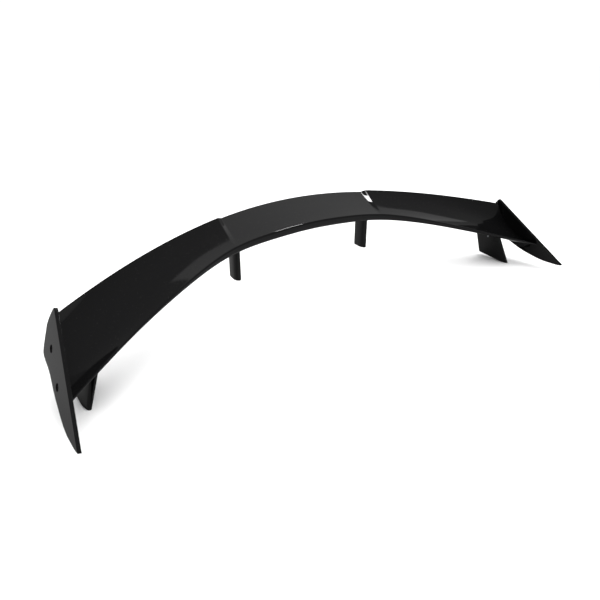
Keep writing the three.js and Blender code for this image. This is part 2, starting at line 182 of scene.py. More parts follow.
def round_corner(before, corner, after, radius, steps=5):
    """A corner rounded by a quadratic curve that leaves each side at a distance `radius` from the corner,
    as (..., steps, 2)."""
    leave = before - corner
    enter = after - corner
    first = corner + leave / np.linalg.norm(leave, axis=-1, keepdims=True) * radius
    last = corner + enter / np.linalg.norm(enter, axis=-1, keepdims=True) * radius
    t = np.linspace(0, 1, steps)[:, None]
    first, corner, last = first[..., None, :], corner[..., None, :], last[..., None, :]
    return mix(mix(first, corner, t), mix(corner, last, t), t)


def per_point(values):
    """Adds an axis, so that one value for each station meets that station's many points."""
    return values[..., None, :]


def upper_section(x):
    """The upper skin's outline at each x, as (..., points, 2): down the trailing edge's corner, forward
    along the top, round the nose to the lip, and back along the inside, which is the outside less the
    wall."""
    edge, _, top, lip, along, up, dish = chord_frame(x)
    height = np.linalg.norm(top - lip, axis=-1, keepdims=True)
    chord = np.linalg.norm(top - edge, axis=-1, keepdims=True)
    share = np.clip(np.abs(x)[..., None] / HALF_SPAN, 0, 1)
    shoulder = np.minimum(mix(0.0016, 0.0075, share**1.5), height * 0.45)

    corner = round_corner(edge - up, edge, on_top(x, 0.02), 0.0011)
    t = np.linspace(0, 1, 45)[1:-1, None]
    start = per_point(0.0016 / chord)
    stop = per_point(1 - shoulder / chord)
    grid = x[..., None] + np.zeros(len(t))
    top_line = on_top(grid, start + (stop - start) * t)
    nose_start = shoulder / height / 1.1
    over = round_corner(on_top(x, 1 - shoulder / chord), top, on_nose(x, nose_start), shoulder, 9)
    t = np.linspace(0, 1, 12)[1:-1, None]
    grid = x[..., None] + np.zeros(len(t))
    nose_line = on_nose(grid, mix(per_point(nose_start), 0.9, t))
    rear = on_underside(x, 0.12) - lip
    rear = rear / np.linalg.norm(rear, axis=-1, keepdims=True)
    under_lip = round_corner(on_nose(x, 0.85), lip, lip + rear, 0.0018)
    inner_lip = per_point(lip + rear * WALL)

    inside_top = top - up * WALL + rear * WALL
    t = np.linspace(0, 1, 5)[1:, None]
    inner_nose = mix(inner_lip, per_point(inside_top), t)
    t = np.linspace(1, 0, 30)[1:, None]
    grid = x[..., None] + np.zeros(len(t))
    deep = mix(EDGE_THICK, per_point(height), t) + BELLY * arch(t)
    wall = np.minimum(WALL, (deep - GAP) / 2)
    inner_top = on_top(grid, t) - per_point(up) * wall + per_point(inside_top - (top - up * WALL)) * t**6
    outside = [corner, top_line, over, nose_line, under_lip]
    return np.concatenate([*outside, inner_lip, inner_nose, inner_top], -2)


def span_grid(section, depth):
    """A section carried along the span, as (stations, points, 3). Close to an end plate each line of the
    surface is stretched so that it ends on the plane that lies `depth` inside the plate's outer face: x and
    z follow each other on that plane, so x is found by putting it into the section a few times."""
    inner = np.linspace(0, STEP_INNER - 0.003, 50)
    step = np.linspace(STEP_INNER - 0.002, STEP_OUTER + 0.002, 28)
    outer = np.linspace(STEP_OUTER + 0.003, 0.700, 84)
    x = np.concatenate([inner, step, outer])
    outline = section(x)
    columns = outline.shape[1]
    each = np.arange(columns)
    straight = np.concatenate([x[:, None].repeat(columns, 1)[..., None], outline], -1)

    last = np.full(columns, HALF_SPAN)
    for _ in range(12):
        z = section(last)[each, each, 1]
        last = PLATE_X + (PLATE_Z - z) * PLATE_LEAN - depth * PLATE_SLANT
    x = mix(0.700, last, np.linspace(0, 1, 10)[1:, None])
    outline = section(x.ravel()).reshape(-1, columns, columns, 2)[:, each, each]
    right = np.concatenate([straight, np.concatenate([x[..., None], outline], -1)])
    return np.concatenate([right[:0:-1] * (-1, 1, 1), right])


def ladder(count):
    """Quads that close a ring of `count` points running out along one side and back along the other."""
    i = np.arange(count // 2 - 1)
    return np.stack([i, i + 1, count - 2 - i, count - 1 - i], -1)


SHARP_ANGLE = np.radians(32)  # edges that turn by more than this stay sharp
MERGE = 2e-6


def smooth(mesh):
    """Shades a mesh smooth between its sharp edges."""
    mesh.polygons.foreach_set("use_smooth", np.ones(len(mesh.polygons), bool))
    mesh.set_sharp_from_angle(angle=SHARP_ANGLE)


def paint(piece, material):
    """Gives a piece one material."""
    piece.data.materials.clear()
    piece.data.materials.append(material)


def surface(name, rings, caps=True, loop=False):
    """A closed surface through rings of equal length, given as (rings, points, 3). Quads join each ring to
    the next; a ladder of quads closes each end, or the last ring is joined to the first. Points that
    coincide are merged, and the faces are turned over if the volume they enclose comes out negative."""
    count, around = rings.shape[:2]
    base = np.arange(count * around).reshape(count, around)
    ahead = np.roll(base, -1, axis=0) if loop else base[1:]
    base_rows = base if loop else base[:-1]
    faces = np.stack([base_rows, np.roll(base_rows, -1, 1), np.roll(ahead, -1, 1), ahead], -1).reshape(-1, 4)
    if caps:
        faces = np.concatenate([faces, ladder(around)[:, ::-1], ladder(around) + (count - 1) * around])
    points = rings.reshape(-1, 3)
    a, b, c, d = points[faces].transpose(1, 0, 2)
    if np.sum(a * (np.cross(b, c) + np.cross(c, d))) < 0:
        faces = faces[:, ::-1]
    mesh = bpy.data.meshes.new(name)
    mesh.from_pydata(points.tolist(), [], faces.tolist())
    shape = bmesh.new()
    shape.from_mesh(mesh)
    bmesh.ops.remove_doubles(shape, verts=shape.verts, dist=MERGE)
    shape.to_mesh(mesh)
    shape.free()
    smooth(mesh)
    piece = bpy.data.objects.new(name, mesh)
    bpy.context.scene.collection.objects.link(piece)
    return piece


def finish_piece(piece, material, slot, *nodes):
    """Gives a piece its material, lets it ride on the wing, and hides the CAD nodes that it stands for.
    The slot argument is not used."""
    paint(piece, material)
    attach(piece, "root")
    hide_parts(*nodes)


# Gloss black plastic is polished, with a long faint wave from the mould, a fine skin like orange peel, wipe
# marks from polishing, and a little dust where it faces up. Each of these effects is a node group.
def new_group(name, inputs, outputs):
    """An empty node group with named number inputs and outputs, and its first and last node."""
    group = bpy.data.node_groups.new(name, "ShaderNodeTree")
    for label, value in inputs.items():
        socket = group.interface.new_socket(label, in_out="INPUT", socket_type="NodeSocketFloat")
        socket.default_value = value
    for label in outputs:
        group.interface.new_socket(label, in_out="OUTPUT", socket_type="NodeSocketFloat")
    return group, group.nodes.new("NodeGroupInput"), group.nodes.new("NodeGroupOutput")


def add_node(tree, kind, sockets=(), links=(), **settings):
    """A node with its settings, the values of its sockets, and links into it from other nodes' sockets."""
    node = tree.nodes.new(kind)
    for key, value in settings.items():
        setattr(node, key, value)
    for key, value in dict(sockets).items():
        node.inputs[key].default_value = value
    for key, source in dict(links).items():
        tree.links.new(source, node.inputs[key])
    return node


def math_node(tree, operation, first, second, clamp=False):
    """A Math node on two inputs, each a number or another node's socket."""
    node = tree.nodes.new("ShaderNodeMath")
    node.operation = operation
    node.use_clamp = clamp
    for socket, value in zip(node.inputs, (first, second)):
        if isinstance(value, (int, float)):
            socket.default_value = value
        else:
            tree.links.new(value, socket)
    return node.outputs[0]


def ramp(tree, value, low, high, start=0.0, stop=1.0):
    """Maps low to high of a value onto start to stop, held at both ends."""
    node = tree.nodes.new("ShaderNodeMapRange")
    for socket, number in zip(node.inputs[1:5], (low, high, start, stop)):
        socket.default_value = number
    tree.links.new(value, node.inputs["Value"])
    return node.outputs["Result"]


def mix_colours(tree, share, first, second):
    """A colour a share of the way from the first to the second, each a colour or another node's socket."""
    node = tree.nodes.new("ShaderNodeMix")
    node.data_type = "RGBA"
    tree.links.new(share, node.inputs[0])
    for socket, colour in ((node.inputs[6], first), (node.inputs[7], second)):
        if isinstance(colour, tuple):
            socket.default_value = colour
        else:
            tree.links.new(colour, socket)
    return node.outputs[2]


def noise(tree, place, scale, detail, distortion=0.0):
    """A noise of a scale per metre, 0 to 1."""
    sockets = {"Scale": scale, "Detail": detail, "Distortion": distortion}
    return add_node(tree, "ShaderNodeTexNoise", sockets, {"Vector": place}).outputs["Fac"]


def object_place(tree):
    """The place on the object, in metres."""
    return tree.nodes.new("ShaderNodeTexCoord").outputs["Object"]


def moulded_skin_group():
    """Height of a moulded skin in metres: a long wave of the mould plus a fine orange peel."""
    group, first, last = new_group("moulded_skin", {"Wave": 0.0, "Peel": 0.0}, ["Height"])
    place = object_place(group)
    high = math_node(group, "MULTIPLY", noise(group, place, 9.0, 1.0), first.outputs["Wave"])
    fine = math_node(group, "MULTIPLY", noise(group, place, 260.0, 2.0), first.outputs["Peel"])
    group.links.new(math_node(group, "ADD", high, fine), last.inputs["Height"])
    return group


def wipe_marks_group():
    """Marks from wiping and polishing, 0 to 1: cloudy smears, and in them hairlines that wander a
    little."""
    group, first, last = new_group("wipe_marks", {"Amount": 1.0}, ["Smear", "Hairline"])
    place = object_place(group)
    soft = ramp(group, noise(group, place, 14.0, 6.0, distortion=1.2), 0.42, 0.72)
    stretch = {"Rotation": (0.1, 0.2, 0.5), "Scale": (30, 900, 900)}
    drag = add_node(group, "ShaderNodeMapping", stretch, {"Vector": place})
    thin = ramp(group, noise(group, drag.outputs["Vector"], 1.0, 2.0), 0.66, 0.76)
    marked = math_node(group, "MULTIPLY", soft, first.outputs["Amount"])
    group.links.new(marked, last.inputs["Smear"])
    group.links.new(math_node(group, "MULTIPLY", thin, marked), last.inputs["Hairline"])
    return group


def dust_group():
    """Dust specks, 0 to 1: the middles of small cells, thinned out by a noise, and only where the surface
    faces upwards."""
    group, first, last = new_group("dust", {"Density": 0.3, "Scale": 900.0}, ["Speck"])
    place = object_place(group)
    links = {"Vector": place, "Scale": first.outputs["Scale"]}
    cells = add_node(group, "ShaderNodeTexVoronoi", {}, links)
    core = ramp(group, cells.outputs["Distance"], 0.2, 0.08)
    pick = add_node(group, "ShaderNodeSeparateColor", {}, {"Color": cells.outputs["Color"]})
    kept = math_node(group, "LESS_THAN", pick.outputs["Red"], first.outputs["Density"])
    normal = group.nodes.new("ShaderNodeNewGeometry").outputs["Normal"]
    facing = add_node(group, "ShaderNodeSeparateXYZ", {}, {"Vector": normal})
    upward = ramp(group, facing.outputs["Z"], 0.1, 0.8)
    speck = math_node(group, "MULTIPLY", math_node(group, "MULTIPLY", core, kept), upward)
    group.links.new(speck, last.inputs["Speck"])
    return group


def edge_rub_group():
    """Where an outer edge has been rubbed, 0 to 1: the angle between the surface's normal and the same
    normal rounded over a radius, broken up by a noise."""
    group, first, last = new_group("edge_rub", {"Radius": 0.0015, "Amount": 1.0}, ["Rub"])
    rounded = add_node(group, "ShaderNodeBevel", {}, {"Radius": first.outputs["Radius"]}, samples=4)
    sharp = group.nodes.new("ShaderNodeNewGeometry").outputs["Normal"]
    alike = add_node(group, "ShaderNodeVectorMath", {}, operation="DOT_PRODUCT")
    group.links.new(rounded.outputs["Normal"], alike.inputs[0])
    group.links.new(sharp, alike.inputs[1])
    turn = ramp(group, alike.outputs["Value"], 0.995, 0.85)
    place = object_place(group)
    worn = ramp(group, noise(group, place, 120.0, 4.0), 0.4, 0.65)
    rub = math_node(group, "MULTIPLY", turn, worn)
    group.links.new(math_node(group, "MULTIPLY", rub, first.outputs["Amount"]), last.inputs["Rub"])
    return group


MOULDED_SKIN = moulded_skin_group()
WIPE_MARKS = wipe_marks_group()
DUST = dust_group()
EDGE_RUB = edge_rub_group()


def place_group(tree, group, **values):
    """One use of a node group, with its own values."""
    node = tree.nodes.new("ShaderNodeGroup")
    node.node_tree = group
    for key, value in values.items():
        node.inputs[key].default_value = value
    return node


def new_material(name):
    """A material with an empty Principled shader: the material, its node tree and the shader."""
    material = bpy.data.materials.new(name)
    material.use_nodes = True
    tree = material.node_tree
    return material, tree, tree.nodes["Principled BSDF"]


def add_bump(tree, shader, height):
    """Bends the shader's normal by a height in metres."""
    bump = add_node(tree, "ShaderNodeBump", {"Strength": 1.0, "Distance": 1.0}, {"Height": height})
    tree.links.new(bump.outputs["Normal"], shader.inputs["Normal"])


BLACK = (0.0032, 0.0032, 0.0034, 1)
RUBBED_BLACK = (0.012, 0.012, 0.0125, 1)
PLASTIC_DUST = (0.11, 0.105, 0.1, 1)


def gloss_black(name):
    """Polished black plastic. Its colour is nearly black with grey specks of dust and slightly greyer
    rubbed edges; its roughness rises in smears, hairlines, dust and rubbed edges; its height is the moulded
    skin less the hairlines."""
    material, tree, shader = new_material(name)
    skin = place_group(tree, MOULDED_SKIN, Wave=0.00012, Peel=0.0000012)
    marks = place_group(tree, WIPE_MARKS, Amount=1.0)
    dust = place_group(tree, DUST, Density=0.05, Scale=700.0)
    rub = place_group(tree, EDGE_RUB, Radius=0.0012, Amount=0.8)

    rubbed = mix_colours(tree, rub.outputs["Rub"], BLACK, RUBBED_BLACK)
    colour = mix_colours(tree, dust.outputs["Speck"], rubbed, PLASTIC_DUST)
    tree.links.new(colour, shader.inputs["Base Color"])

    rough = math_node(tree, "MULTIPLY_ADD", marks.outputs["Smear"], 0.035)
    rough.node.inputs[2].default_value = 0.06
    rough = math_node(tree, "ADD", rough, math_node(tree, "MULTIPLY", marks.outputs["Hairline"], 0.05))
    rough = math_node(tree, "ADD", rough, math_node(tree, "MULTIPLY", rub.outputs["Rub"], 0.12))
    rough = math_node(tree, "ADD", rough, math_node(tree, "MULTIPLY", dust.outputs["Speck"], 0.5), clamp=True)
    tree.links.new(rough, shader.inputs["Roughness"])
    shader.inputs["IOR"].default_value = 1.5

    scratch = math_node(tree, "MULTIPLY", marks.outputs["Hairline"], -0.0000004)
    speck = math_node(tree, "MULTIPLY", dust.outputs["Speck"], 0.00002)
    height = math_node(tree, "ADD", math_node(tree, "ADD", skin.outputs["Height"], scratch), speck)
    add_bump(tree, shader, height)
    return material


blade_black = gloss_black("blade_gloss_black")
upper_skin = surface("upper_skin", span_grid(upper_section, PLATE_THICK + GAP))
finish_piece(upper_skin, blade_black, "gloss_black", "blade_upper_skin")


# ---------------------------------------------------------------- blade, lower skin
# The underside is a second moulding of the same gloss plastic, bonded in behind the nose and along the
# trailing edge. Its ends stop short of the tip ribs.
def lower_section(x):
    """The lower skin's outline at each x: from just behind the upper skin's lip along the outside of the
    underside, round the lower corner of the trailing edge, and back at a wall's height over it."""
    edge, edge_under, top, lip, along, up, dish = chord_frame(x)
    height = np.linalg.norm(top - lip, axis=-1, keepdims=True)
    rear = on_underside(x, 0.12) - lip
    rear = rear / np.linalg.norm(rear, axis=-1, keepdims=True)
    behind = lip + rear * (WALL + GAP)
    lean = (top - lip) / np.sum((top - lip) * up, -1, keepdims=True)

    t = np.linspace(0, 1, 48)[1:-1, None]
    grid = x[..., None] + np.zeros(len(t))
    outside = on_underside(grid, mix(0.035, 0.995, t))
    front = round_corner(behind + lean, behind, outside[..., 0, :], 0.0006)
    corner = round_corner(outside[..., -1, :], edge_under, edge_under + up, 0.0011)
    t = t[::-1]
    deep = mix(EDGE_THICK, per_point(height), 1 - t) + BELLY * arch(t)
    wall = np.minimum(WALL, (deep - GAP) / 2)
    inside = on_underside(grid, mix(0.035, 0.995, t)) + per_point(up) * wall
    front_wall = np.minimum(WALL, (height - GAP) / 2)
    inner_front = per_point(behind + lean * front_wall)
    inner_rear = per_point(edge_under + up * (EDGE_THICK - GAP) / 2)
    inner_rear = inner_rear.repeat(5, -2)
    return np.concatenate([front, outside, corner, inner_rear, inside, inner_front.repeat(5, -2)], -2)


lower_skin = surface("lower_skin", span_grid(lower_section, PLATE_THICK + RIB_THICK + 2 * GAP))
finish_piece(lower_skin, blade_black, "gloss_black", "blade_lower_skin")

# ---------------------------------------------------------------- end plates
# Each end plate is a flat 8 mm moulding in the same gloss plastic, leaning out at the bottom, with a lower
# lip turned in below a crease. Two bolts in counterbores hold it to the tip rib.
PLATE_EDGE = 0.0015  # rounding of its edges
LIP_TURN = 0.3  # inwards for each metre below the crease
CREASE_ROUNDING = 0.0015
BOLTS = [(0.0, 0.1325), (-0.067, 0.0805)]
COUNTERBORE_RADIUS = 0.0085
COUNTERBORE_DEPTH = 0.005
BOLT_HOLE = 0.0033
RIM_CHAMFER = 0.0006
CUT_BEYOND = 0.004  # how far a cutter stands proud of the faces it cuts
SIDES = {"right": 1, "left": -1}

# The outline from the front tip to the lower rear corner: Y, and the Z of the lower lip, of the crease
# above it and of the top edge.
PLATE_AT = np.array([-0.2223, -0.215, -0.203, -0.186, -0.157, -0.130, -0.105, -0.085, -0.062, -0.040,
                     -0.020, -0.003, 0.008, 0.014, 0.020, 0.033, 0.043, 0.049, 0.052])
PLATE_LIP = [0.0275, 0.0255, 0.0245, 0.0245, 0.025, 0.029, 0.0355, 0.0415, 0.0495, 0.0595,
             0.0695, 0.0755, 0.0795, 0.0825, 0.0855, 0.0915, 0.0965, 0.101, 0.106]
PLATE_CREASE = [0.0281, 0.0262, 0.0252, 0.0252, 0.026, 0.0315, 0.040, 0.048, 0.057, 0.067,
                0.078, 0.087, 0.091, 0.093, 0.094, 0.096, 0.0985, 0.102, 0.107]
PLATE_PEAK = 0.014  # the top edge rises to here and then falls
FRONT_EDGE = [0.029, 0.034, 0.0435, 0.057, 0.0795, 0.101, 0.1205, 0.1365, 0.1545, 0.172, 0.1875, 0.201, 0.210,
              0.2132]
REAR_EDGE = [0.2132, 0.2105, 0.194, 0.179, 0.166, 0.125]


def on_plate(side, y, z, depth):
    """A point of an end plate at a (y, z) of its outer face, moved inwards along the face's normal."""
    x = PLATE_X + (PLATE_Z - z) * PLATE_LEAN - depth / PLATE_SLANT
    return np.stack([side * x, y + 0 * x, z - depth * PLATE_LEAN / PLATE_SLANT], -1)


def plate_rings(side):
    """The plate as rings through its thickness: each station's ring goes down the outer face, round the
    lip, up the inner face and over the top edge. Below the crease both faces turn inwards."""
    y = np.unique(np.concatenate([np.linspace(PLATE_AT[0], -0.21, 14), np.linspace(-0.21, 0.008, 70),
                                  np.linspace(0.008, 0.052, 40)]))
    lip = np.interp(y, PLATE_AT, PLATE_LIP)
    crease = np.interp(y, PLATE_AT, PLATE_CREASE)
    front = np.interp(y, PLATE_AT[PLATE_AT <= PLATE_PEAK], FRONT_EDGE)
    rear = np.interp(y, PLATE_AT[PLATE_AT >= PLATE_PEAK], REAR_EDGE)
    top = np.where(y < PLATE_PEAK, front, rear)
    tall = top - lip
    edge = np.minimum(PLATE_EDGE, tall * 0.45)[:, None]
    turn = np.linspace(0, np.pi / 2, 5)
    inset = edge * (1 - np.sin(turn))
    drop = edge * (1 - np.cos(turn))
    face = np.linspace(0, 1, 24)[1:-1]
    low, high = lip[:, None], top[:, None]
    body = high - edge + (low + edge - (high - edge)) * face
    heights = np.concatenate([high - drop, body, low + drop[:, ::-1]], 1)
    depths = np.concatenate([inset, body * 0, inset[:, ::-1]], 1)
    heights = np.concatenate([heights, heights[:, ::-1]], 1)
    depths = np.concatenate([depths, PLATE_THICK - depths[:, ::-1]], 1)
    depths = depths + LIP_TURN * bend(crease[:, None] - heights, CREASE_ROUNDING)
    return on_plate(side, y[:, None], heights, depths)


def turned(name, start, axis, outline, around):
    """A turned piece about an axis from a start point, from an outline of (radius, height along the axis)
    that closes on itself or starts and ends on the axis."""
    outline = np.array(outline, float)
    angle = np.linspace(0, 2 * np.pi, around, endpoint=False)[:, None]
    axis = np.array(axis, float)
    across = np.cross(axis, (0, 1, 0))
    across = across / np.linalg.norm(across)
    radial = np.cos(angle) * across + np.sin(angle) * np.cross(axis, across)
    rings = start + radial[:, None] * outline[None, :, :1] + axis * outline[None, :, 1:]
    return surface(name, rings, caps=False, loop=True)


def rod(name, side, y, z, outline, around):
    """A turned piece on the axis of a plate bolt, with its heights as depths below the plate's outer
    face."""
    inward = np.array([-side, 0, -PLATE_LEAN]) / PLATE_SLANT
    return turned(name, on_plate(side, np.float64(y), z, 0.0), inward, outline, around)


def cut_with(piece, *cutters):
    """Cuts other pieces out of a piece, and removes them."""
    for cutter in cutters:
        cut = piece.modifiers.new(cutter.name, "BOOLEAN")
        cut.operation = "DIFFERENCE"
        cut.solver = "EXACT"
        cut.object = cutter
    bpy.context.view_layer.update()
    mesh = bpy.data.meshes.new_from_object(piece.evaluated_get(bpy.context.evaluated_depsgraph_get()))
    piece.modifiers.clear()
    piece.data = mesh
    smooth(mesh)
    for cutter in cutters:
        bpy.data.objects.remove(cutter)


plate_black = gloss_black("plate_gloss_black")
rim = COUNTERBORE_RADIUS + RIM_CHAMFER
through = PLATE_THICK + CUT_BEYOND
bore = [(0, -CUT_BEYOND), (rim, -CUT_BEYOND), (rim, 0), (COUNTERBORE_RADIUS, RIM_CHAMFER),
        (COUNTERBORE_RADIUS, COUNTERBORE_DEPTH), (BOLT_HOLE, COUNTERBORE_DEPTH), (BOLT_HOLE, through),
        (0, through)]
for hand, side in SIDES.items():
    plate = surface(f"{hand}_plate", plate_rings(side))
    cutters = [rod(f"{hand}_bore_{i}", side, y, z, bore, 56) for i, (y, z) in enumerate(BOLTS)]
    cut_with(plate, *cutters)
    finish_piece(plate, plate_black, "gloss_black", f"{hand}_end_plate")

# ---------------------------------------------------------------- tip ribs
# A tip rib is a matt black moulded plate that closes the end of the blade. It hangs below the blade as a
# tongue that takes the end plate's two bolts.
RUBBED_MATT = (0.05, 0.05, 0.052, 1)
MATT_DUST = (0.12, 0.115, 0.11, 1)


def matt_black(name, tint=(0.012, 0.012, 0.013, 1), coarse=0.00004):
    """Matt moulded plastic: a fine grain in the height, and a roughness and a colour that vary in patches,
    with dust where it faces up."""
    material, tree, shader = new_material(name)
    place = object_place(tree)
    dust = place_group(tree, DUST, Density=0.12, Scale=700.0)
    rub = place_group(tree, EDGE_RUB, Radius=0.0008, Amount=1.0)
    rubbed = mix_colours(tree, rub.outputs["Rub"], tint, RUBBED_MATT)
    colour = mix_colours(tree, dust.outputs["Speck"], rubbed, MATT_DUST)
    tree.links.new(colour, shader.inputs["Base Color"])
    rough = ramp(tree, noise(tree, place, 35.0, 5.0), 0.0, 1.0, 0.45, 0.7)
    tree.links.new(rough, shader.inputs["Roughness"])
    add_bump(tree, shader, math_node(tree, "MULTIPLY", noise(tree, place, 1800.0, 2.0), coarse))
    return material


METAL_GRAIN = 0.000004


def metal(name, tint, blotch, low, high, grain_size):
    """Bare or plated metal: two shades in patches, a roughness between low and high that follows a noise, a
    fine grain as height, and brighter rubbed edges."""
    material, tree, shader = new_material(name)
    place = object_place(tree)
    grain = noise(tree, place, grain_size, 3.0)
    rub = place_group(tree, EDGE_RUB, Radius=0.0004, Amount=0.9)
    mottled = mix_colours(tree, noise(tree, place, 260.0, 5.0), tint, blotch)
    bright = tuple(min(1.0, channel * 1.6 + 0.03) for channel in tint[:3]) + (1,)
    tree.links.new(mix_colours(tree, rub.outputs["Rub"], mottled, bright), shader.inputs["Base Color"])
    rough = ramp(tree, grain, 0.0, 1.0, low, high)
    tree.links.new(rough, shader.inputs["Roughness"])
    shader.inputs["Metallic"].default_value = 1.0
    add_bump(tree, shader, math_node(tree, "MULTIPLY", grain, METAL_GRAIN))
    return material


rib_black = matt_black("rib_matt_black")
for hand in SIDES:
    paint(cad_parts[f"{hand}_tip_rib"], rib_black)

# ---------------------------------------------------------------- end plate bolts and washers
# Each end plate has two button-head screws in blackened steel with a hexagon socket, on plain zinc washers,
# and brass inserts in the rib take their threads.
WASHER_DEPTH = 0.0039
SEAT_DEPTH = 0.0036
black_steel = metal("black_steel", (0.02, 0.02, 0.022, 1), (0.035, 0.033, 0.03, 1), 0.28, 0.5, 2400.0)
zinc = metal("zinc", (0.55, 0.56, 0.58, 1), (0.42, 0.43, 0.46, 1), 0.25, 0.5, 1800.0)
brass = metal("brass", (0.62, 0.42, 0.16, 1), (0.5, 0.33, 0.13, 1), 0.25, 0.45, 2000.0)

# Outlines as (radius, depth), the bolt's from the seat of its head and the washer's from its outer face.
button_head = [(0.0, -0.0022), (0.0022, -0.0022), (0.0033, -0.00208), (0.0043, -0.0016),
               (0.0050, -0.0009), (0.0052, -0.0003), (0.0051, 0.0), (0.0028, 0.0), (0.0028, 0.0114),
               (0.0022, 0.012), (0.0, 0.012)]
hex_socket = [(0, -0.002), (0.0022, -0.002), (0.0022, 0.0028), (0, 0.0033)]
washer_ring = [(0.0033, 0.0), (0.0070, 0.0), (0.0072, 0.0002), (0.0072, 0.0006), (0.0070, 0.0008),
               (0.0033, 0.0008)]
washer_ring = [(radius, depth + WASHER_DEPTH) for radius, depth in washer_ring]
button_head = [(radius, depth + SEAT_DEPTH) for radius, depth in button_head]
for hand, side in SIDES.items():
    for i, (y, z) in enumerate(BOLTS):
        washer = rod(f"{hand}_washer_{i + 1}", side, y, z, washer_ring, 48)
        finish_piece(washer, zinc, "zinc", f"{hand}_end_plate_washer_{i + 1}")

        bolt = rod(f"{hand}_bolt_{i + 1}", side, y, z, button_head, 48)
        socket = rod(f"{hand}_socket_{i}", side, y, z, hex_socket, 6)
        cut_with(bolt, socket)
        finish_piece(bolt, black_steel, "black_steel", f"{hand}_end_plate_bolt_{i + 1}")

# ---------------------------------------------------------------- legs
# Four gloss black legs carry the wing on the tail: aerofoils in plan, with rounded foot edges. The inner
# pair is upright; the outer pair leans in going up and stands on feet that slope with the body.
LEG_CLEARANCE = 0.0010  # straight down, between a leg's top and the underside
FOOT_ROUND = 0.0015
FOOT_SLOPE = 0.112
INSERT_ROOM = 0.0046  # radius of the hole for a threaded insert
INSERT_DEPTH = 0.0123

# Each leg by levels from the foot up: X of its middle, Y of its nose and of its tail. Then its thickness,
# the tail's share of that, the foot's slope, and how far back from the nose each insert sits.
LEGS = {
    "inner_leg": {
        "at": [0.1038, 0.24],
        "x": [0.236, 0.236],
        "front": [0.146, 0.146],
        "rear": [0.198, 0.198],
        "thick": 0.019,
        "tail": 0.35,
        "slope": 0.0,
        "inserts": (0.012, 0.033),
    },
    "outer_leg": {
        "at": [0.0015, 0.080, 0.185],
        "x": [0.7305, 0.699, 0.658],
        "front": [-0.063, -0.047, -0.022],
        "rear": [0.058, 0.056, 0.024],
        "thick": 0.021,
        "tail": 0.6,
        "slope": FOOT_SLOPE,
        "inserts": (0.026, 0.098),
    },
}


def under_height(x, y):
    """The Z of the underside above a point: its line at x is walked until it passes y."""
    t = np.linspace(0, 1, 60)
    line = on_underside(np.full(len(t), x), t[:, None])
    return np.interp(y, line[:, 0], line[:, 1])


def leg_outline(leg, inset=0.0):
    """An aerofoil's plan as shares of the chord and distances across: an ellipse to 30% of the chord, then
    a taper to the tail, closed by a steep rounding. An inset draws it in all round."""
    t = (1 - np.cos(np.pi * np.linspace(0, 1, 25))) / 2
    nose = np.sqrt(1 - (1 - np.minimum(t / 0.3, 1)) ** 2)
    taper = mix(1, leg["tail"], np.clip((t - 0.3) / 0.7, 0, 1) ** 1.5)
    close = (1 - np.clip((t - 0.9) / 0.1, 0, 1) ** 4) ** 0.25
    across = (leg["thick"] / 2 - inset) * nose * taper * close
    chord = leg["rear"][0] - leg["front"][0]
    along = mix(inset / chord, 1 - inset / chord, t)
    return np.concatenate([along, along[::-1]]), np.concatenate([across, -across[::-1]])


def leg_points(leg, side, along, across, level):
    """Points of a leg at a level of its lean; the level is the Z of the front of the ring."""
    x = np.interp(level, leg["at"], leg["x"])
    front = np.interp(level, leg["at"], leg["front"])
    rear = np.interp(level, leg["at"], leg["rear"])
    y = mix(front, rear, along)
    return np.stack([side * (x + across), y, level + leg["slope"] * along * (rear - front)], -1)


def leg_rings(leg, side):
    """Rings from the foot up: a quarter circle at the foot's edge, then up the leg's lean to the
    underside."""
    foot = leg["at"][0]
    rings = []
    for angle in np.linspace(0, np.pi / 2, 5):
        along, across = leg_outline(leg, FOOT_ROUND * (1 - np.sin(angle)))
        level = foot + FOOT_ROUND * (1 - np.cos(angle)) + 0 * along
        rings.append(leg_points(leg, side, along, across, level))
    level = np.full(len(along), leg["at"][-1] - 0.01)
    for _ in range(10):
        x, y, z = leg_points(leg, 1, along, across, level).T
        roof = np.array([under_height(*point) for point in zip(x, y)]) - LEG_CLEARANCE
        level = level + roof - z
    start = foot + FOOT_ROUND
    for share in np.linspace(0, 1, 24)[1:]:
        rings.append(leg_points(leg, side, along, across, mix(start, level, share)))
    return np.array(rings)


def foot_frame(leg, side, distance):
    """The mouth of an insert's hole at a distance back from the foot's front, and the foot's upward
    normal."""
    back = np.array([0, 1, leg["slope"]]) / np.hypot(1, leg["slope"])
    front = np.array([side * leg["x"][0], leg["front"][0], leg["at"][0]])
    return front + back * distance, np.array([0, -leg["slope"], 1]) / np.hypot(1, leg["slope"])


leg_black = gloss_black("leg_gloss_black")
for hand, side in SIDES.items():
    for kind, leg in LEGS.items():
        body = surface(f"{hand}_{kind}_body", leg_rings(leg, side))
        cutters = []
        for i, distance in enumerate(leg["inserts"]):
            mouth, up = foot_frame(leg, side, distance)
            hole = [(0, -0.003), (INSERT_ROOM, -0.003), (INSERT_ROOM, INSERT_DEPTH), (0, INSERT_DEPTH)]
            cutters.append(turned(f"{hand}_{kind}_hole_{i}", mouth, up, hole, 48))
        cut_with(body, *cutters)
        finish_piece(body, leg_black, "gloss_black", f"{hand}_{kind}")

# ---------------------------------------------------------------- threaded inserts and foam pads
# Brass inserts in the feet take the car's own studs, and a thin closed-cell foam pad under each foot keeps
# it off the paint.
THREAD_PITCH = 0.0009
THREAD_DEEP = 0.00025
INSERT_RADIUS = 0.0043
INSERT_BORE = 0.0026
INSERT_LENGTH = 0.012
PAD_LOW = 0.0015  # below the foot, as PAD_TOP is
PAD_TOP = 0.0003
PAD_INSET = 0.0003
PAD_HOLE = 0.0053
foam = matt_black("foam", (0.02, 0.02, 0.02, 1), 0.00012)

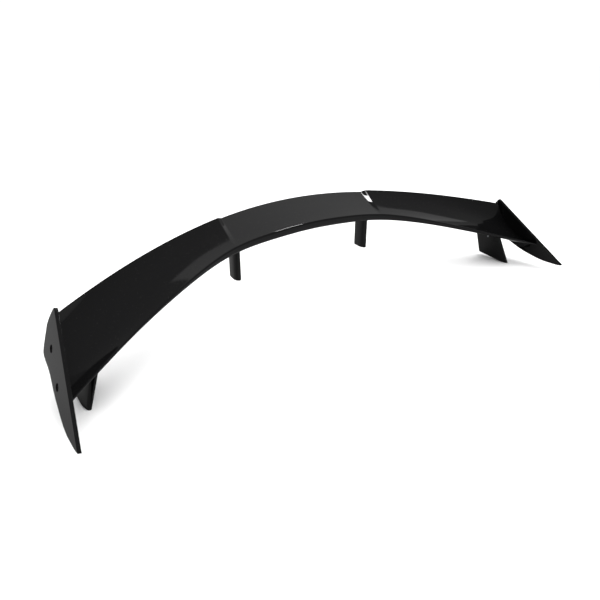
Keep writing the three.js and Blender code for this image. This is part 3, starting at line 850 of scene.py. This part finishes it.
turns = np.linspace(0, INSERT_LENGTH, int(INSERT_LENGTH / THREAD_PITCH) * 2 + 1)[::-1]
groove = INSERT_BORE + THREAD_DEEP * (np.arange(len(turns)) % 2)
chamfer = 0.0003
insert_wall = [(INSERT_RADIUS - chamfer, 0.0), (INSERT_RADIUS, chamfer),
               (INSERT_RADIUS, INSERT_LENGTH - chamfer), (INSERT_RADIUS - chamfer, INSERT_LENGTH)]
insert_wall = insert_wall + list(zip(groove, turns))
for hand, side in SIDES.items():
    for kind, leg in LEGS.items():
        cutters = []
        for i, distance in enumerate(leg["inserts"]):
            mouth, up = foot_frame(leg, side, distance)
            insert = turned(f"{hand}_{kind}_insert_{i + 1}", mouth, up, insert_wall, 36)
            finish_piece(insert, brass, "brass", f"{hand}_{kind}_foot_insert_{i + 1}")
            hole = [(0, -0.004), (PAD_HOLE, -0.004), (PAD_HOLE, 0.002), (0, 0.002)]
            cutters.append(turned(f"{hand}_{kind}_pad_hole_{i}", mouth, up, hole, 48))
        along, across = leg_outline(leg, PAD_INSET)
        foot = leg_points(leg, side, along, across, leg["at"][0] + 0 * along)
        pad = surface(f"{hand}_{kind}_foam", np.array([foot - up * PAD_LOW, foot - up * PAD_TOP]))
        cut_with(pad, *cutters)
        finish_piece(pad, foam, "foam", f"{hand}_{kind}_pad")

# ---------------------------------------------------------------- fixings inside the wing
# Zinc-plated screws go down through steel backing plates inside the blade, on the lower skin, into the legs,
# and brass inserts sit in the tip ribs. They keep the frame's own shapes and get real finishes.
INSIDE = {"_screw_": zinc, "_backing_plate": zinc, "_end_plate_insert_": brass}
for name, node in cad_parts.items():
    for key, finish in INSIDE.items():
        if key in name:
            paint(node, finish)

# ---------------------------------------------------------------- floor and light
# A plain white floor that runs to the horizon, lit by a soft panel from above and by the whole sky. The
# polished plastic reflects a dim grey studio with one long soft box overhead to the rear right, and a small
# bright lamp that shows in the right step. The floor is bright to the camera and dim to everything else, so
# that it doesn't wash out the black.
FLOOR_SIZE = 60.0
FLOOR_REFLECTED = (0.18, 0.18, 0.18, 1)
FLOOR_SEEN = (0.9, 0.9, 0.9, 1)
SKY_REFLECTED = 0.19
SKY_SEEN = 1.05
floor_mesh = bpy.data.meshes.new("floor")
half = FLOOR_SIZE / 2
floor_corners = [(-half, -half, 0), (half, -half, 0), (half, half, 0), (-half, half, 0)]
floor_mesh.from_pydata(floor_corners, [], [(0, 1, 2, 3)])
floor = bpy.data.objects.new("floor", floor_mesh)
bpy.context.scene.collection.objects.link(floor)
floor_white, floor_tree, floor_shader = new_material("floor_white")
floor_shader.inputs["Roughness"].default_value = 0.9
floor_shader.inputs["Specular IOR Level"].default_value = 0.0
sight = floor_tree.nodes.new("ShaderNodeLightPath").outputs["Is Camera Ray"]
shade = mix_colours(floor_tree, sight, FLOOR_REFLECTED, FLOOR_SEEN)
floor_tree.links.new(shade, floor_shader.inputs["Base Color"])
floor_mesh.materials.append(floor_white)

world = bpy.data.worlds.new("studio")
bpy.context.scene.world = world
world.use_nodes = True
sky = world.node_tree
background = sky.nodes["Background"]
sight = sky.nodes.new("ShaderNodeLightPath").outputs["Is Camera Ray"]
strength = add_node(sky, "ShaderNodeMix", {2: SKY_REFLECTED, 3: SKY_SEEN}, {0: sight})
sky.links.new(strength.outputs[0], background.inputs["Strength"])
background.inputs["Color"].default_value = (1, 1, 1, 1)
bpy.context.scene.view_settings.view_transform = "Standard"


def soft_light(name, place, aim, size, power):
    """A rectangular area light, aimed at a point, that lights the scene but doesn't show in reflections."""
    data = bpy.data.lights.new(name, "AREA")
    data.shape = "RECTANGLE"
    data.size, data.size_y = size
    data.energy = power
    light = bpy.data.objects.new(name, data)
    light.location = place
    light.rotation_euler = (Vector(aim) - Vector(place)).to_track_quat("-Z", "Y").to_euler()
    light.visible_camera = False
    light.visible_glossy = False
    bpy.context.scene.collection.objects.link(light)


def soft_box(name, low, high, height, strength):
    """A level glowing panel that shows only in reflections, between two corners (x, y) at a height."""
    mesh = bpy.data.meshes.new(name)
    corners = [(low[0], low[1]), (high[0], low[1]), (high[0], high[1]), (low[0], high[1])]
    mesh.from_pydata([(x, y, height) for x, y in corners], [], [(3, 2, 1, 0)])
    material, tree, shader = new_material(name)
    glow = add_node(tree, "ShaderNodeEmission", {"Strength": strength})
    tree.links.new(glow.outputs["Emission"], tree.nodes["Material Output"].inputs["Surface"])
    mesh.materials.append(material)
    box = bpy.data.objects.new(name, mesh)
    box.visible_camera = box.visible_diffuse = box.visible_shadow = False
    bpy.context.scene.collection.objects.link(box)


soft_light("top_light", (0.8, -0.4, 3.4), (0, 0, 0), (4.5, 4.5), 150)
sun_data = bpy.data.lights.new("sky_light", "SUN")
sun_data.energy = 3.0
sun_data.angle = 2.6  # radians across, nearly the whole sky
sun = bpy.data.objects.new("sky_light", sun_data)
sun.visible_glossy = False
bpy.context.scene.collection.objects.link(sun)
soft_box("rear_box", (0.3, 0.2), (4.4, 3.0), 2.6, 0.62)
soft_box("step_lamp", (0.22, -0.02), (0.40, 0.14), 0.87, 25.0)
